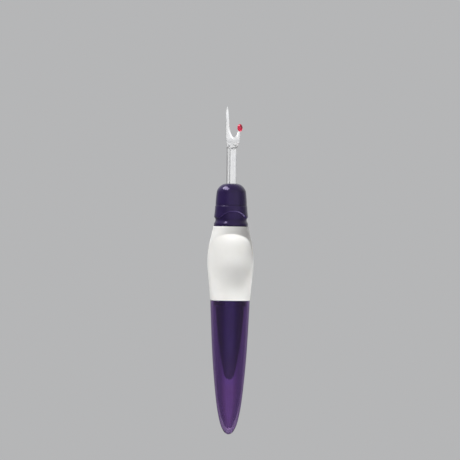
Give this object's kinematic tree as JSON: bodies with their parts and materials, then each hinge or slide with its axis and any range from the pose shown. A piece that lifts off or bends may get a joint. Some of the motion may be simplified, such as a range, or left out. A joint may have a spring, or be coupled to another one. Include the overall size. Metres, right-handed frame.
{
  "type": "seam ripper",
  "caption": "Hand seam ripper: forked steel blade with a beaded short point, shaped finger-rest grip, tapered tail and a pull-off point cap that stores on the tail.",
  "frame": {"origin": "on the tool's axis, at the front face of the white grip where the nose collar leaves it", "axes": "+Z along the axis towards the blade's long point, -Y out of the front finger rest, +X towards the beaded short point's side"},
  "size_m": [0.0232, 0.0206, 0.1643],
  "materials": {
    "steel": "bright polished",
    "red_bead": "gloss",
    "dark_violet": "gloss",
    "white_grip": "satin, slightly soft",
    "clear_violet": "clear tinted gloss"
  },
  "bodies": {
    "handle": {"grip_body": "white_grip", "nose_collar": "dark_violet", "tail_core": "dark_violet", "blade": "steel", "ball_tip": "red_bead"},
    "cap": {"point_cap": "clear_violet"}
  },
  "joints": [
    {"name": "cap_pull_off", "type": "slide", "parent": "handle", "child": "cap", "axis": [0, 0, -1], "range_m": [0, 0.045]}
  ]
}
